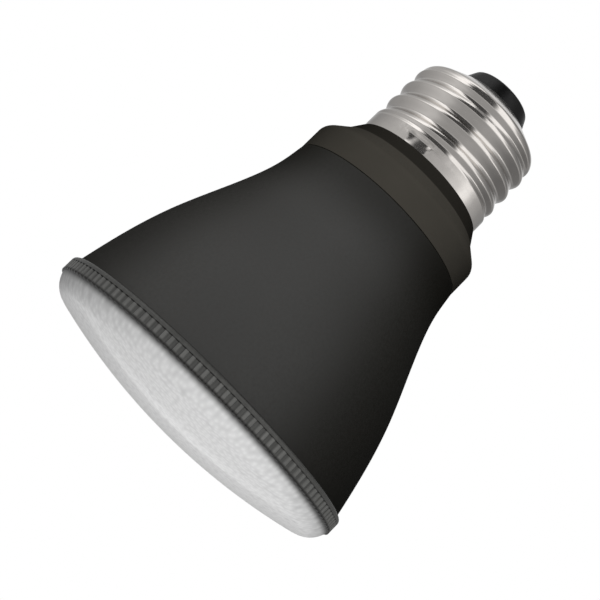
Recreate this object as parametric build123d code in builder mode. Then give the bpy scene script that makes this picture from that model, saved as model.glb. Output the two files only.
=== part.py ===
from build123d import *
from math import cos, pi, sin, sqrt
import os

# Reflector-type LED lamp with an E26 screw base, in millimetres.
# It hangs base up: +Z runs from the lens to the base, and the origin is the tip of the centre contact.
# All turned and moulded pieces share the Z axis.

# Fits
FIT_GAP = 0.15
SCREW_HOLE_GAP = 0.1

# Screw shell, rolled from sheet
THREAD_MAJOR_R = 13.2
THREAD_DEPTH = 0.75
THREAD_PITCH = 25.4 / 7
THREAD_RUNOUT_TURNS = 0.3
THREAD_STEPS_PER_TURN = 12
SHELL_WALL = 0.4
SHELL_LENGTH = 18.85
SKIRT_R = 13.1
SKIRT_HEIGHT = 1.3
SKIRT_TAPER = 0.5
SHOULDER_HEIGHT = 3.9
SHOULDER_BAND = 0.9
SHOULDER_ROUND = 1.5
SHELL_END_R = 7.6

# Insulator and centre contact
INSULATOR_RISE = 3.3
INSULATOR_TOP_R = 5.9
INSULATOR_ROUND = 0.9
INSULATOR_DEPTH = 1.6
CONTACT_RISE = 1.2
CONTACT_R = 3.6
CONTACT_FLAT_R = 2.0
CONTACT_EDGE = 0.3
RIVET_R = 1.4
RIVET_TAIL = 0.5

# Collar: the band that shows, its spigot inside the shell and its tube inside the housing
COLLAR_HEIGHT = 10.25
COLLAR_BAND = 4.9
COLLAR_BAND_ROUND = 1.6
COLLAR_LIP_HEIGHT = 2.65
COLLAR_LIP_FLARE = 2.0
COLLAR_LIP_EDGE = 0.35
COLLAR_ROOF = 4.2
SPIGOT_LENGTH = 14.6
SPIGOT_WALL = 1.6
TUBE_WALL = 1.5
BOARD_RIB = 1.2

# Housing: a bell given by its mouth, belly, waist, bend and neck
HOUSING_HEIGHT = 41.2
HOUSING_WALL = 1.6
MOUTH_R = 30.1
BELLY_TAPER = 4.15
BELLY_RISE = 16.8
WAIST_FLARE = 3.0
WAIST_DROP = 11.9
BEND_FLARE = 0.75
BEND_DROP = 4.9
NECK_R = 18.0
MOUTH_SLOPE = 0.19
NECK_SLOPE = 0.14
MOUTH_ROUND = 0.4
LEDGE_HEIGHT = 3.6
LEDGE_WIDTH = 5.4

# Lens with its ribbed flange, which covers the housing's mouth and overhangs it a little
FLANGE_OVERHANG = 0.6
FLANGE_R = MOUTH_R + FLANGE_OVERHANG
FLANGE_HEIGHT = 5.1
FLANGE_ROUND = 0.5
LENS_EDGE_ROUND = 4.0
LENS_WALL = 2.2
DOME_R = 114.0
RIB_COUNT = 135
RIB_HEIGHT = 0.3
RIB_LENGTH = 2.1
RIB_DROP = 0.75
RIB_ROOT = 0.6
LOCATING_LIP_GAP = 0.8
LOCATING_LIP_WALL = 1.4
LOCATING_LIP_HEIGHT = 2.8

# Light engine
SPREADER_THICKNESS = 2.0
SPREADER_BORE_R = 4.0
SPREADER_SCREW_INSET = 2.1
LED_BOARD_THICKNESS = 1.6
LED_COUNT = 8
LED_CIRCLE_R = 9.5
LED_SIZE = 3.0
LED_THICKNESS = 0.8
BOARD_SCREW_INSET = 2.6
SCREW_COUNT = 3
SCREW_R = 1.25
SCREW_HEAD_R = 2.0
SCREW_HEAD_HEIGHT = 1.4
SPREADER_SCREW_GRIP = 2.6
REFLECTOR_WALL = 1.1
REFLECTOR_BOARD_GAP = 0.4
PIN_R = 0.4
PIN_SPACING = 4.0
PIN_TAIL = 0.6

# Driver
DRIVER_BOARD_THICKNESS = 1.6
DRIVER_BOARD_FOOT = 3.0
TRANSFORMER_WIDTH = 10.0
TRANSFORMER_HEIGHT = 9.0
TRANSFORMER_DEPTH = 6.5
BULK_CAPACITOR_R = 4.0
BULK_CAPACITOR_LENGTH = 12.0
FILM_CAPACITOR_WIDTH = 10.0
FILM_CAPACITOR_HEIGHT = 7.0
FILM_CAPACITOR_DEPTH = 5.0
CHOKE_R = 3.0
CHOKE_DEPTH = 6.0
VARISTOR_R = 3.0
VARISTOR_DEPTH = 3.2
RECTIFIER_WIDTH = 4.6
RECTIFIER_HEIGHT = 5.0
RECTIFIER_DEPTH = 2.4
CHIP_WIDTH = 4.0
CHIP_HEIGHT = 5.0
CHIP_DEPTH = 1.5
FUSE_R = 1.3
FUSE_LENGTH = 7.5
COLUMN_OFFSET = 4.2
LEAD_R = 0.5
LEAD_BEND_R = 1.2
NEUTRAL_LEAD_INSET = 1.2

# Levels, from the tip of the contact downwards
insulator_top_z = -CONTACT_RISE
shell_top_z = insulator_top_z - INSULATOR_RISE
shoulder_z = shell_top_z - SHOULDER_HEIGHT
insulator_bottom_z = shell_top_z - INSULATOR_DEPTH
rivet_bottom_z = insulator_bottom_z - RIVET_TAIL
collar_top_z = shell_top_z - SHELL_LENGTH
spigot_top_z = collar_top_z + SPIGOT_LENGTH
collar_lip_z = collar_top_z - COLLAR_LIP_HEIGHT
collar_roof_z = collar_top_z - COLLAR_ROOF
housing_top_z = collar_top_z - COLLAR_HEIGHT
mouth_z = housing_top_z - HOUSING_HEIGHT
belly_z = mouth_z + BELLY_RISE
spreader_top_z = belly_z - LEDGE_HEIGHT
spreader_bottom_z = spreader_top_z - SPREADER_THICKNESS
led_board_z = spreader_bottom_z - LED_BOARD_THICKNESS
lip_top_z = mouth_z + LOCATING_LIP_HEIGHT

# Radii that follow from their neighbours. The spigot passes both the skirt and the root of the thread,
# and the ledge is rooted just short of the outside of the wall.
thread_mean_r = THREAD_MAJOR_R - THREAD_DEPTH / 2
thread_bore_r = THREAD_MAJOR_R - THREAD_DEPTH - SHELL_WALL
skirt_bore_r = SKIRT_R - SHELL_WALL
spigot_r = min(thread_bore_r, skirt_bore_r) - FIT_GAP
spigot_bore_r = spigot_r - SPIGOT_WALL
tube_r = NECK_R - HOUSING_WALL - FIT_GAP
tube_bore_r = tube_r - TUBE_WALL
belly_r = MOUTH_R - BELLY_TAPER
ledge_r = belly_r - LEDGE_WIDTH
ledge_root_r = belly_r - HOUSING_WALL / 8
spreader_r = belly_r - HOUSING_WALL
spreader_screw_r = spreader_r - SPREADER_SCREW_INSET
reflector_foot_r = spreader_screw_r - SCREW_HEAD_R - FIT_GAP
led_board_r = reflector_foot_r - REFLECTOR_WALL - REFLECTOR_BOARD_GAP
board_screw_r = led_board_r - BOARD_SCREW_INSET
screw_hole_r = SCREW_R + SCREW_HOLE_GAP
locating_lip_r = MOUTH_R - HOUSING_WALL - LOCATING_LIP_GAP


def dome_drop(radius):
    """Height by which the spherical front of the lens falls back at a radius."""
    return DOME_R - sqrt(DOME_R**2 - radius**2)


def polar(radius, angle):
    """Point of a circle about the axis, with the angle in radians."""
    return (radius * cos(angle), radius * sin(angle))


def bell_line(inset):
    """Points of the housing's wall from mouth to neck, moved in by an inset."""
    return [
        (MOUTH_R - inset, mouth_z),
        (belly_r - inset, belly_z),
        (NECK_R + WAIST_FLARE - inset, housing_top_z - WAIST_DROP),
        (NECK_R + BEND_FLARE - inset, housing_top_z - BEND_DROP),
        (NECK_R - inset, housing_top_z),
    ]


os.makedirs("parts", exist_ok=True)

# Lens: shallow dome, rounded edge, flange with fine ribs, and a lip that locates it in the housing
dome_edge_z = mouth_z - FLANGE_HEIGHT
apex_z = dome_edge_z - dome_drop(FLANGE_R)
lip_bore_r = locating_lip_r - LOCATING_LIP_WALL
rib_top_z = mouth_z - RIB_DROP
rib_points = []
for step in range(2 * RIB_COUNT):
    crest = RIB_HEIGHT if step % 2 else 0.0
    rib_points.append(polar(FLANGE_R + crest, step * pi / RIB_COUNT))

with BuildPart() as lens:
    with BuildSketch(Plane.XZ):
        with BuildLine():
            ThreePointArc(
                (0, apex_z),
                (FLANGE_R / 2, apex_z + dome_drop(FLANGE_R / 2)),
                (FLANGE_R, dome_edge_z),
            )
            Polyline(
                (FLANGE_R, dome_edge_z),
                (FLANGE_R, mouth_z),
                (locating_lip_r, mouth_z),
                (locating_lip_r, lip_top_z),
                (lip_bore_r, lip_top_z),
                (lip_bore_r, apex_z + LENS_WALL + dome_drop(lip_bore_r)),
            )
            ThreePointArc(
                (lip_bore_r, apex_z + LENS_WALL + dome_drop(lip_bore_r)),
                (lip_bore_r / 2, apex_z + LENS_WALL + dome_drop(lip_bore_r / 2)),
                (0, apex_z + LENS_WALL),
            )
            Line((0, apex_z + LENS_WALL), (0, apex_z))
        face = make_face()
        outer_corners = face.vertices().group_by(Axis.X)[-1].sort_by(Axis.Z)
        fillet(outer_corners[0], LENS_EDGE_ROUND)
        fillet(outer_corners[-1], FLANGE_ROUND)
    revolve(axis=Axis.Z)
    with BuildSketch(Plane.XY.offset(rib_top_z)):
        with BuildLine():
            Polyline(*rib_points, close=True)
        make_face()
        Circle(FLANGE_R - RIB_ROOT, mode=Mode.SUBTRACT)
    extrude(amount=-RIB_LENGTH)
lens.part.label = "lens"
export_step(lens.part, "parts/lens.step")

# Housing: bell of even wall, with an inner ledge that the heat spreader is screwed to
with BuildPart() as housing:
    with BuildSketch(Plane.XZ):
        with BuildLine():
            outer = Spline(*bell_line(0), tangents=[(-MOUTH_SLOPE, 1), (-NECK_SLOPE, 1)])
            inner = Spline(*bell_line(HOUSING_WALL), tangents=[(-MOUTH_SLOPE, 1), (-NECK_SLOPE, 1)])
            Line(outer @ 0, inner @ 0)
            Line(outer @ 1, inner @ 1)
        face = make_face()
        fillet(face.vertices().group_by(Axis.Z)[0].sort_by(Axis.X)[-1], MOUTH_ROUND)
    revolve(axis=Axis.Z)
    with BuildSketch(Plane.XY.offset(spreader_top_z)):
        Circle(ledge_root_r)
        Circle(ledge_r, mode=Mode.SUBTRACT)
    extrude(amount=LEDGE_HEIGHT)
    with BuildSketch(Plane.XY.offset(spreader_top_z)):
        with PolarLocations(spreader_screw_r, SCREW_COUNT):
            Circle(screw_hole_r)
    extrude(amount=LEDGE_HEIGHT, mode=Mode.SUBTRACT)
housing.part.label = "housing"
export_step(housing.part, "parts/housing.step")

# Collar: band, lip, spigot and tube in one moulding, with ribs that hold the driver board's edges
board_slot = DRIVER_BOARD_THICKNESS / 2 + FIT_GAP
with BuildPart() as collar:
    with BuildSketch(Plane.XZ):
        with BuildLine():
            FilletPolyline(
                (tube_r, housing_top_z),
                (NECK_R, housing_top_z),
                (NECK_R, housing_top_z + COLLAR_BAND),
                (SKIRT_R + COLLAR_LIP_FLARE, collar_lip_z),
                (SKIRT_R + COLLAR_LIP_EDGE, collar_top_z),
                radius=[0, COLLAR_BAND_ROUND, 0],
            )
            Polyline(
                (SKIRT_R + COLLAR_LIP_EDGE, collar_top_z),
                (spigot_r, collar_top_z),
                (spigot_r, spigot_top_z),
                (spigot_bore_r, spigot_top_z),
                (spigot_bore_r, collar_roof_z),
                (tube_bore_r, collar_roof_z),
                (tube_bore_r, spreader_top_z),
                (tube_r, spreader_top_z),
                (tube_r, housing_top_z),
            )
        make_face()
    revolve(axis=Axis.Z)
    with BuildSketch(Plane.XY.offset(spreader_top_z)):
        for side in (-1, 1):
            for face_side in (-1, 1):
                with Locations((side * tube_bore_r, face_side * (board_slot + BOARD_RIB / 2))):
                    Rectangle(2 * BOARD_RIB, BOARD_RIB)
        Circle(tube_bore_r + TUBE_WALL / 2, mode=Mode.INTERSECT)
    extrude(amount=collar_roof_z - spreader_top_z)
collar.part.label = "collar"
export_step(collar.part, "parts/collar.step")

# Screw shell: sheet with a short plain skirt, a rolled right-hand thread and a conical shoulder.
# Each level of the thread is a circle set off the axis, and the offset turns once in a pitch.
thread_bottom_z = collar_top_z + SKIRT_HEIGHT + SKIRT_TAPER
thread_turns = (shoulder_z - thread_bottom_z) / THREAD_PITCH
thread_steps = round(thread_turns * THREAD_STEPS_PER_TURN)


def thread_centre(turn):
    """Centre of the thread's circle after some turns, running out to the axis at both ends."""
    runout = min(1, turn / THREAD_RUNOUT_TURNS, (thread_turns - turn) / THREAD_RUNOUT_TURNS)
    return polar(THREAD_DEPTH / 2 * runout, 2 * pi * turn)


def skirt_line(inset):
    """Points of the skirt's wall up to the thread, moved in by an inset."""
    return [
        (SKIRT_R - inset, collar_top_z),
        (SKIRT_R - inset, collar_top_z + SKIRT_HEIGHT),
        (thread_mean_r - inset, thread_bottom_z),
    ]


def shoulder_line(inset):
    """Points of the shoulder's wall from the thread to the end hole, moved in by an inset."""
    return [
        (thread_mean_r - inset, shoulder_z),
        (thread_mean_r - inset, shoulder_z + SHOULDER_BAND),
        (SHELL_END_R + SHELL_WALL - inset, shell_top_z),
    ]


with BuildPart() as screw_shell:
    for inset, mode in ((0, Mode.ADD), (SHELL_WALL, Mode.SUBTRACT)):
        with BuildSketch(Plane.XZ):
            with BuildLine():
                skirt = Polyline(*skirt_line(inset))
                Polyline(skirt @ 1, (0, thread_bottom_z), (0, collar_top_z), skirt @ 0)
            make_face()
        revolve(axis=Axis.Z, mode=mode)
        with BuildSketch(Plane.XZ):
            with BuildLine():
                shoulder = FilletPolyline(*shoulder_line(inset), radius=SHOULDER_ROUND)
                Polyline(shoulder @ 1, (0, shell_top_z), (0, shoulder_z), shoulder @ 0)
            make_face()
        revolve(axis=Axis.Z, mode=mode)
        for step in range(thread_steps + 1):
            turn = thread_turns * step / thread_steps
            with BuildSketch(Plane.XY.offset(thread_bottom_z + turn * THREAD_PITCH)):
                with Locations(thread_centre(turn)):
                    Circle(thread_mean_r - inset)
        loft(mode=mode)
screw_shell.part.label = "screw_shell"
export_step(screw_shell.part, "parts/screw_shell.step")

# Insulator: button at the end of the shell, keyed behind the shell's cone
cone_slope = (thread_mean_r - SHELL_END_R - SHELL_WALL) / (SHOULDER_HEIGHT - SHOULDER_BAND)
insulator_bottom_r = SHELL_END_R - FIT_GAP + cone_slope * INSULATOR_DEPTH
rivet_bore_r = RIVET_R + SCREW_HOLE_GAP
with BuildPart() as base_insulator:
    with BuildSketch(Plane.XZ):
        with BuildLine():
            FilletPolyline(
                (rivet_bore_r, insulator_bottom_z),
                (insulator_bottom_r, insulator_bottom_z),
                (SHELL_END_R - FIT_GAP, shell_top_z),
                (INSULATOR_TOP_R, insulator_top_z),
                (rivet_bore_r, insulator_top_z),
                radius=[0, 0, INSULATOR_ROUND],
            )
            Line((rivet_bore_r, insulator_top_z), (rivet_bore_r, insulator_bottom_z))
        make_face()
    revolve(axis=Axis.Z)
base_insulator.part.label = "base_insulator"
export_step(base_insulator.part, "parts/base_insulator.step")

# Centre contact: flat-topped button with a rivet through the insulator
with BuildPart() as centre_contact:
    with BuildSketch(Plane.XZ):
        with BuildLine():
            Polyline(
                (0, 0),
                (CONTACT_FLAT_R, 0),
                (CONTACT_R, CONTACT_EDGE - CONTACT_RISE),
                (CONTACT_R, -CONTACT_RISE),
                (RIVET_R, -CONTACT_RISE),
                (RIVET_R, rivet_bottom_z),
                (0, rivet_bottom_z),
                close=True,
            )
        make_face()
    revolve(axis=Axis.Z)
centre_contact.part.label = "centre_contact"
export_step(centre_contact.part, "parts/centre_contact.step")

# Heat spreader: plate under the ledge, with holes for both sets of screws and a way for the pins
with BuildPart() as heat_spreader:
    with BuildSketch(Plane.XY.offset(spreader_bottom_z)):
        Circle(spreader_r)
        Circle(SPREADER_BORE_R, mode=Mode.SUBTRACT)
        with PolarLocations(spreader_screw_r, SCREW_COUNT):
            Circle(screw_hole_r, mode=Mode.SUBTRACT)
        with PolarLocations(board_screw_r, SCREW_COUNT):
            Circle(screw_hole_r, mode=Mode.SUBTRACT)
    extrude(amount=SPREADER_THICKNESS)
heat_spreader.part.label = "heat_spreader"
export_step(heat_spreader.part, "parts/heat_spreader.step")

# Screws that hold the spreader to the ledge
with BuildPart() as spreader_screws:
    with BuildSketch(Plane.XY.offset(spreader_bottom_z)):
        with PolarLocations(spreader_screw_r, SCREW_COUNT):
            Circle(SCREW_HEAD_R)
    extrude(amount=-SCREW_HEAD_HEIGHT)
    with BuildSketch(Plane.XY.offset(spreader_bottom_z)):
        with PolarLocations(spreader_screw_r, SCREW_COUNT):
            Circle(SCREW_R)
    extrude(amount=SPREADER_THICKNESS + SPREADER_SCREW_GRIP)
spreader_screws.part.label = "spreader_screws"
export_step(spreader_screws.part, "parts/spreader_screws.step")

# Light board, on the lens side of the spreader
with BuildPart() as led_board:
    with BuildSketch(Plane.XY.offset(led_board_z)):
        Circle(led_board_r)
        with PolarLocations(board_screw_r, SCREW_COUNT):
            Circle(screw_hole_r, mode=Mode.SUBTRACT)
        with GridLocations(PIN_SPACING, 0, 2, 1):
            Circle(PIN_R + FIT_GAP, mode=Mode.SUBTRACT)
    extrude(amount=LED_BOARD_THICKNESS)
led_board.part.label = "led_board"
export_step(led_board.part, "parts/led_board.step")

# Light-emitting packages, in a ring on the board
with BuildPart() as led_packages:
    with BuildSketch(Plane.XY.offset(led_board_z)):
        with PolarLocations(LED_CIRCLE_R, LED_COUNT):
            Rectangle(LED_SIZE, LED_SIZE)
    extrude(amount=-LED_THICKNESS)
led_packages.part.label = "led_packages"
export_step(led_packages.part, "parts/led_packages.step")

# Screws that hold the light board to the spreader
with BuildPart() as board_screws:
    with BuildSketch(Plane.XY.offset(led_board_z)):
        with PolarLocations(board_screw_r, SCREW_COUNT):
            Circle(SCREW_HEAD_R)
    extrude(amount=-SCREW_HEAD_HEIGHT)
    with BuildSketch(Plane.XY.offset(led_board_z)):
        with PolarLocations(board_screw_r, SCREW_COUNT):
            Circle(SCREW_R)
    extrude(amount=LED_BOARD_THICKNESS + SPREADER_THICKNESS - FIT_GAP)
board_screws.part.label = "board_screws"
export_step(board_screws.part, "parts/board_screws.step")

# Reflector ring, trapped between the spreader and the lens's lip
with BuildPart() as reflector:
    with BuildSketch(Plane.XZ):
        with BuildLine():
            Polyline(
                (reflector_foot_r - REFLECTOR_WALL, spreader_bottom_z),
                (reflector_foot_r, spreader_bottom_z),
                (reflector_foot_r, spreader_bottom_z - SCREW_HEAD_HEIGHT),
                (locating_lip_r, lip_top_z),
                (locating_lip_r - REFLECTOR_WALL, lip_top_z),
                (reflector_foot_r - REFLECTOR_WALL, spreader_bottom_z - SCREW_HEAD_HEIGHT),
                close=True,
            )
        make_face()
    revolve(axis=Axis.Z)
reflector.part.label = "reflector"
export_step(reflector.part, "parts/reflector.step")

# Driver board, on edge between the ribs of the collar's tube
board_bottom_z = spreader_top_z + DRIVER_BOARD_FOOT
board_top_z = collar_roof_z - FIT_GAP
board_height = board_top_z - board_bottom_z
board_width = 2 * (sqrt(tube_bore_r**2 - (DRIVER_BOARD_THICKNESS / 2) ** 2) - FIT_GAP)
with BuildPart() as driver_board:
    with BuildSketch(Plane.XY.offset(board_bottom_z)):
        Rectangle(board_width, DRIVER_BOARD_THICKNESS)
    extrude(amount=board_height)
driver_board.part.label = "driver_board"
export_step(driver_board.part, "parts/driver_board.step")

# Pins from the driver board's lower edge through the spreader to the light board
with BuildPart() as led_pins:
    with BuildSketch(Plane.XY.offset(board_bottom_z)):
        with GridLocations(PIN_SPACING, 0, 2, 1):
            Circle(PIN_R)
    extrude(amount=led_board_z - PIN_TAIL - board_bottom_z)
led_pins.part.label = "led_pins"
export_step(led_pins.part, "parts/led_pins.step")


def front_plane(z):
    """Plane on the +Y face of the driver board at a height, facing out."""
    return Plane(origin=(0, DRIVER_BOARD_THICKNESS / 2, z), x_dir=(1, 0, 0), z_dir=(0, 1, 0))


def back_plane(z):
    """Plane on the -Y face of the driver board at a height, facing out."""
    return Plane(origin=(0, -DRIVER_BOARD_THICKNESS / 2, z), x_dir=(1, 0, 0), z_dir=(0, -1, 0))


# Front of the driver board: transformer below, bulk capacitor above, with even spaces between
front_space = (board_height - TRANSFORMER_HEIGHT - BULK_CAPACITOR_LENGTH) / 3
transformer_z = board_bottom_z + front_space + TRANSFORMER_HEIGHT / 2
bulk_capacitor_z = transformer_z + TRANSFORMER_HEIGHT / 2 + front_space
with BuildPart() as transformer:
    with BuildSketch(front_plane(transformer_z)):
        Rectangle(TRANSFORMER_WIDTH, TRANSFORMER_HEIGHT)
    extrude(amount=TRANSFORMER_DEPTH)
transformer.part.label = "transformer"
export_step(transformer.part, "parts/transformer.step")

with BuildPart() as bulk_capacitor:
    with BuildSketch(Plane.XY.offset(bulk_capacitor_z)):
        with Locations((0, DRIVER_BOARD_THICKNESS / 2 + BULK_CAPACITOR_R + FIT_GAP)):
            Circle(BULK_CAPACITOR_R)
    extrude(amount=BULK_CAPACITOR_LENGTH)
bulk_capacitor.part.label = "bulk_capacitor"
export_step(bulk_capacitor.part, "parts/bulk_capacitor.step")

# Back of the driver board: four rows with even spaces between
row_heights = [FILM_CAPACITOR_HEIGHT, 2 * CHOKE_R, 2 * VARISTOR_R, 2 * FUSE_R]
row_space = (board_height - sum(row_heights)) / (len(row_heights) + 1)
row_z = []
level = board_bottom_z
for height in row_heights:
    row_z.append(level + row_space + height / 2)
    level += row_space + height
film_capacitor_z, choke_z, varistor_z, fuse_z = row_z

with BuildPart() as film_capacitor:
    with BuildSketch(back_plane(film_capacitor_z)):
        Rectangle(FILM_CAPACITOR_WIDTH, FILM_CAPACITOR_HEIGHT)
    extrude(amount=FILM_CAPACITOR_DEPTH)
film_capacitor.part.label = "film_capacitor"
export_step(film_capacitor.part, "parts/film_capacitor.step")

with BuildPart() as choke:
    with BuildSketch(back_plane(choke_z)):
        with Locations((-COLUMN_OFFSET, 0)):
            Circle(CHOKE_R)
    extrude(amount=CHOKE_DEPTH)
choke.part.label = "choke"
export_step(choke.part, "parts/choke.step")

with BuildPart() as control_chip:
    with BuildSketch(back_plane(choke_z)):
        with Locations((COLUMN_OFFSET, 0)):
            Rectangle(CHIP_WIDTH, CHIP_HEIGHT)
    extrude(amount=CHIP_DEPTH)
control_chip.part.label = "control_chip"
export_step(control_chip.part, "parts/control_chip.step")

with BuildPart() as varistor:
    with BuildSketch(back_plane(varistor_z)):
        with Locations((-COLUMN_OFFSET, 0)):
            Circle(VARISTOR_R)
    extrude(amount=VARISTOR_DEPTH)
varistor.part.label = "varistor"
export_step(varistor.part, "parts/varistor.step")

with BuildPart() as bridge_rectifier:
    with BuildSketch(back_plane(varistor_z)):
        with Locations((COLUMN_OFFSET, 0)):
            Rectangle(RECTIFIER_WIDTH, RECTIFIER_HEIGHT)
    extrude(amount=RECTIFIER_DEPTH)
bridge_rectifier.part.label = "bridge_rectifier"
export_step(bridge_rectifier.part, "parts/bridge_rectifier.step")

with BuildPart() as fuse_resistor:
    with BuildSketch(Plane.YZ.offset(-FUSE_LENGTH / 2)):
        with Locations((-DRIVER_BOARD_THICKNESS / 2 - FUSE_R - FIT_GAP, fuse_z)):
            Circle(FUSE_R)
    extrude(amount=FUSE_LENGTH)
fuse_resistor.part.label = "fuse_resistor"
export_step(fuse_resistor.part, "parts/fuse_resistor.step")

# Live lead, straight up the axis to the contact's rivet
with BuildPart() as live_lead:
    with BuildSketch(Plane.XY.offset(board_top_z)):
        Circle(LEAD_R)
    extrude(amount=rivet_bottom_z - board_top_z)
live_lead.part.label = "live_lead"
export_step(live_lead.part, "parts/live_lead.step")

# Neutral lead, up beside the spigot's wall and out over its rim to the shell
neutral_x = spigot_bore_r - LEAD_R - NEUTRAL_LEAD_INSET
neutral_top_z = spigot_top_z + LEAD_R + FIT_GAP
with BuildPart() as neutral_lead:
    with BuildLine(Plane.XZ) as neutral_path:
        FilletPolyline(
            (neutral_x, board_top_z),
            (neutral_x, neutral_top_z),
            (thread_bore_r - FIT_GAP, neutral_top_z),
            radius=LEAD_BEND_R,
        )
    with BuildSketch(Plane.XY.offset(board_top_z)):
        with Locations((neutral_x, 0)):
            Circle(LEAD_R)
    sweep(path=neutral_path.line)
neutral_lead.part.label = "neutral_lead"
export_step(neutral_lead.part, "parts/neutral_lead.step")
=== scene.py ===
from math import atan2, cos, exp, pi, radians, sin, sqrt, tan

import bmesh
import bpy
from bpy.props import FloatProperty, FloatVectorProperty, IntProperty, PointerProperty
from bpy.types import NodeSocket, Operator, Panel, PropertyGroup
from mathutils import Matrix, Quaternion, Vector
from mathutils.geometry import interpolate_bezier


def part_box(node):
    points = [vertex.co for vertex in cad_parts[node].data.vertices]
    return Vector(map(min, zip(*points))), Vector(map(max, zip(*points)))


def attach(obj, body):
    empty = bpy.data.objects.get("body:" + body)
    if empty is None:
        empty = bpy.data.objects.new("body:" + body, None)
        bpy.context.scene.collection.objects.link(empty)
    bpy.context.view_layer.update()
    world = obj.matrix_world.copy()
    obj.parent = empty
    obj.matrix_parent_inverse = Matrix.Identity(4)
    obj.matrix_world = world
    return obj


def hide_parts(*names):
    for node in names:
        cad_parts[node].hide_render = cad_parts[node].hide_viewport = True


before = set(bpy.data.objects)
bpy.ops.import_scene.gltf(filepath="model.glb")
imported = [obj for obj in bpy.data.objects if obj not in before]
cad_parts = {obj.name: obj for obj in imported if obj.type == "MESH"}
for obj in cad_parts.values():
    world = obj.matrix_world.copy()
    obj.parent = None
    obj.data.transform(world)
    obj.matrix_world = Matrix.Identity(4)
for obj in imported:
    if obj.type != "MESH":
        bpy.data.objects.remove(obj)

bl_info = {
    "name": "Reflector lamp",
    "version": (1, 0, 0),
    "blender": (4, 5, 0),
    "location": "View3D > Sidebar > Lamp",
    "description": "Dresses the packed reflector lamp and sets it in a plain studio",
    "category": "Object",
}

MM = 0.001
# Colour sockets of a Mix node, whose names repeat those of its other kinds.
MIX_A, MIX_B, MIX_RESULT = 6, 7, 2
SENSOR_MM = 36
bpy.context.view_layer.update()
LENS_LOW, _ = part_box("lens")
HOUSING_LOW, HOUSING_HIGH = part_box("housing")
SHELL_LOW, SHELL_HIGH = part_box("screw_shell")


def srgb(code):
    """Linear colour of an sRGB hex code."""
    values = [int(code[i : i + 2], 16) / 255 for i in (1, 3, 5)]
    return tuple(v / 12.92 if v <= 0.04045 else ((v + 0.055) / 1.055) ** 2.4 for v in values)


def length(name, description, millimetres):
    """Property for a length, with its default in millimetres."""
    return FloatProperty(name=name, description=description, default=millimetres * MM, unit="LENGTH")


def tint(name, description, code):
    """Property for a colour, with its default as an sRGB hex code."""
    return FloatVectorProperty(name=name, description=description, default=srgb(code), subtype="COLOR")


def turn(name, description, degrees):
    """Property for an angle, with its default in degrees."""
    return FloatProperty(name=name, description=description, default=radians(degrees), subtype="ANGLE")


class HousingSizes(PropertyGroup):
    """Bell-shaped housing, given by stations up its wall."""

    mouth_r: length("Mouth radius", "Outside radius at the open end", 30.1)
    belly_r: length("Belly radius", "Outside radius at the inner ledge", 25.95)
    belly_rise: length("Belly rise", "Height of the belly above the mouth", 16.8)
    waist_r: length("Waist radius", "Outside radius where the wall is steepest", 21.0)
    waist_drop: length("Waist drop", "Depth of the waist below the neck", 11.9)
    bend_r: length("Bend radius", "Outside radius where the wall turns up", 18.75)
    bend_drop: length("Bend drop", "Depth of the bend below the neck", 4.9)
    neck_r: length("Neck radius", "Outside radius at the collar", 18.0)
    wall: length("Wall", "Thickness of the wall", 1.6)
    ledge_r: length("Ledge radius", "Inside radius of the ledge that carries the spreader", 20.55)
    ledge_height: length("Ledge height", "Thickness of the ledge", 3.6)
    mouth_round: length("Mouth round", "Round of the mouth's outer edge", 0.12)
    seam_round: length("Seam round", "Round of the neck's edge at the seam with the collar", 0.35)


class LensSizes(PropertyGroup):
    """Shallow dome with a ribbed flange."""

    flange_r: length("Flange radius", "Radius of the flange between and below its ribs", 30.7)
    flange_height: length("Flange height", "From the housing's mouth to the corner of the dome", 5.1)
    flange_round: length("Flange round", "Round of the flange's upper edge", 0.5)
    edge_round: length("Edge round", "Round between the flange and the dome", 4.0)
    dome_r: length("Dome radius", "Radius of the spherical front", 114.0)
    wall: length("Wall", "Thickness of the front", 2.2)
    lip_r: length("Lip radius", "Outside radius of the lip inside the housing", 27.7)
    lip_wall: length("Lip wall", "Thickness of the lip", 1.4)
    lip_height: length("Lip height", "Height of the lip above the flange", 2.8)
    rib_count: IntProperty(name="Ribs", description="Ribs around the flange", default=135)
    rib_height: length("Rib height", "How far the ribs and the band above them stand out", 0.28)
    rib_drop: length("Rib drop", "Depth of the ribs' upper ends below the mouth", 0.75)
    rib_length: length("Rib length", "Height of the ribs", 2.1)
    rib_ramp: length("Rib ramp", "Height of the slope at a rib's end", 0.12)
    white_end: length("White end", "Height above the corner at which the white front starts to fade", 1.1)
    rim_start: length("Rim start", "Height above the corner at which the rim is fully dark", 2.5)
    rib_foot: length("Rib foot", "Height above the corner at which the ribs are fully light", 2.95)


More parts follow.
